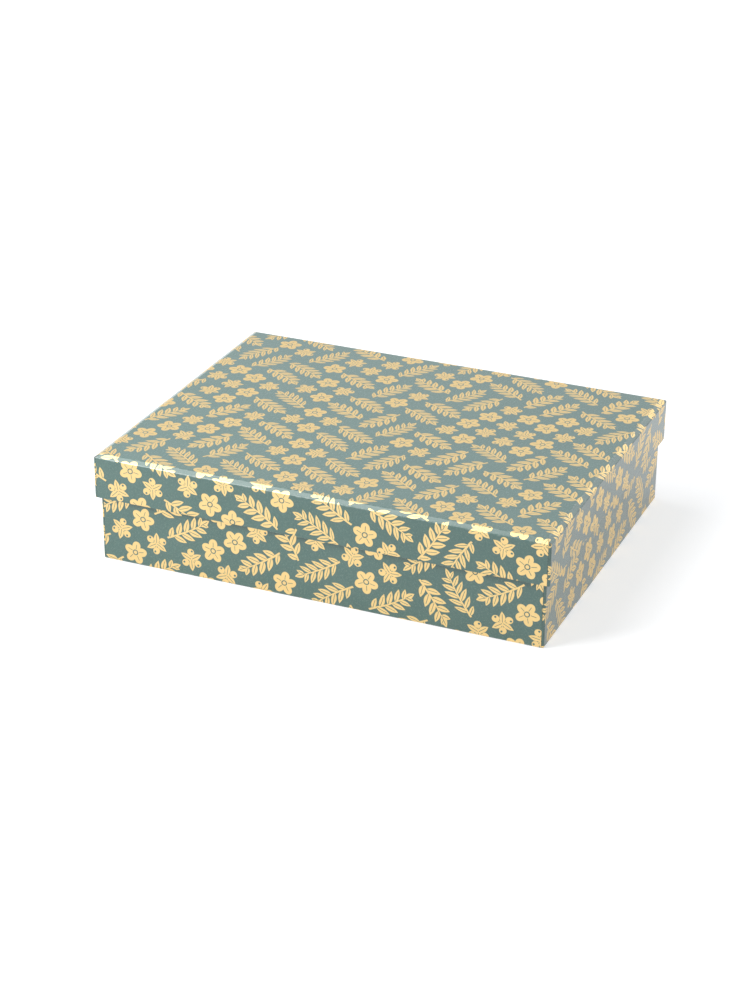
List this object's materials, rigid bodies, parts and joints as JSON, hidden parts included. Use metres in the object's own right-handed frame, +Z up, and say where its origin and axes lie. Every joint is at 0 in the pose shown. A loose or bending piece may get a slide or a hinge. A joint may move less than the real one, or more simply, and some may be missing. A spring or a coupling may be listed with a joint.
{
  "type": "storage box with dividers",
  "caption": "Rigid paper-covered storage box with a lift-off lid and slotted card dividers that form square compartments.",
  "frame": {"origin": "on the table under the middle of the closed box", "axes": "+X along the box's long front side, +Y from front to back, +Z up"},
  "size_m": [0.34, 0.263, 0.082],
  "materials": {
    "printed_paper": "satin green paper with a gold foliage print",
    "lining_paper": "uncoated ivory paper",
    "under_paper": "uncoated plain green paper",
    "stay_tape": "gummed brown paper",
    "divider_card": "ivory-lined card with cut grey edges",
    "greyboard": "raw greyboard"
  },
  "bodies": {
    "base": {"base_bottom_sheet": "under_paper", "base_bottom_board": "greyboard", "base_front_board": "greyboard", "base_back_board": "greyboard", "base_left_board": "greyboard", "base_right_board": "greyboard", "base_stay_front_left": "stay_tape", "base_stay_front_right": "stay_tape", "base_stay_back_left": "stay_tape", "base_stay_back_right": "stay_tape", "base_wrap": "printed_paper", "base_lining": "lining_paper"},
    "long_dividers": {"divider_long_1": "divider_card", "divider_long_2": "divider_card", "divider_long_3": "divider_card"},
    "cross_dividers": {"divider_cross_1": "divider_card", "divider_cross_2": "divider_card", "divider_cross_3": "divider_card", "divider_cross_4": "divider_card"},
    "lid": {"lid_top_board": "greyboard", "lid_front_board": "greyboard", "lid_back_board": "greyboard", "lid_left_board": "greyboard", "lid_right_board": "greyboard", "lid_stay_front_left": "stay_tape", "lid_stay_front_right": "stay_tape", "lid_stay_back_left": "stay_tape", "lid_stay_back_right": "stay_tape", "lid_wrap": "printed_paper", "lid_lining": "lining_paper"}
  },
  "joints": [
    {"name": "long_divider_lift", "type": "slide", "parent": "base", "child": "long_dividers", "axis": [0, 0, 1], "range_m": [0, 0.1]},
    {"name": "cross_divider_lift", "type": "slide", "parent": "long_dividers", "child": "cross_dividers", "axis": [0, 0, 1], "range_m": [0, 0.08]},
    {"name": "lid_lift", "type": "slide", "parent": "cross_dividers", "child": "lid", "axis": [0, 0, 1], "range_m": [0, 0.15]}
  ]
}
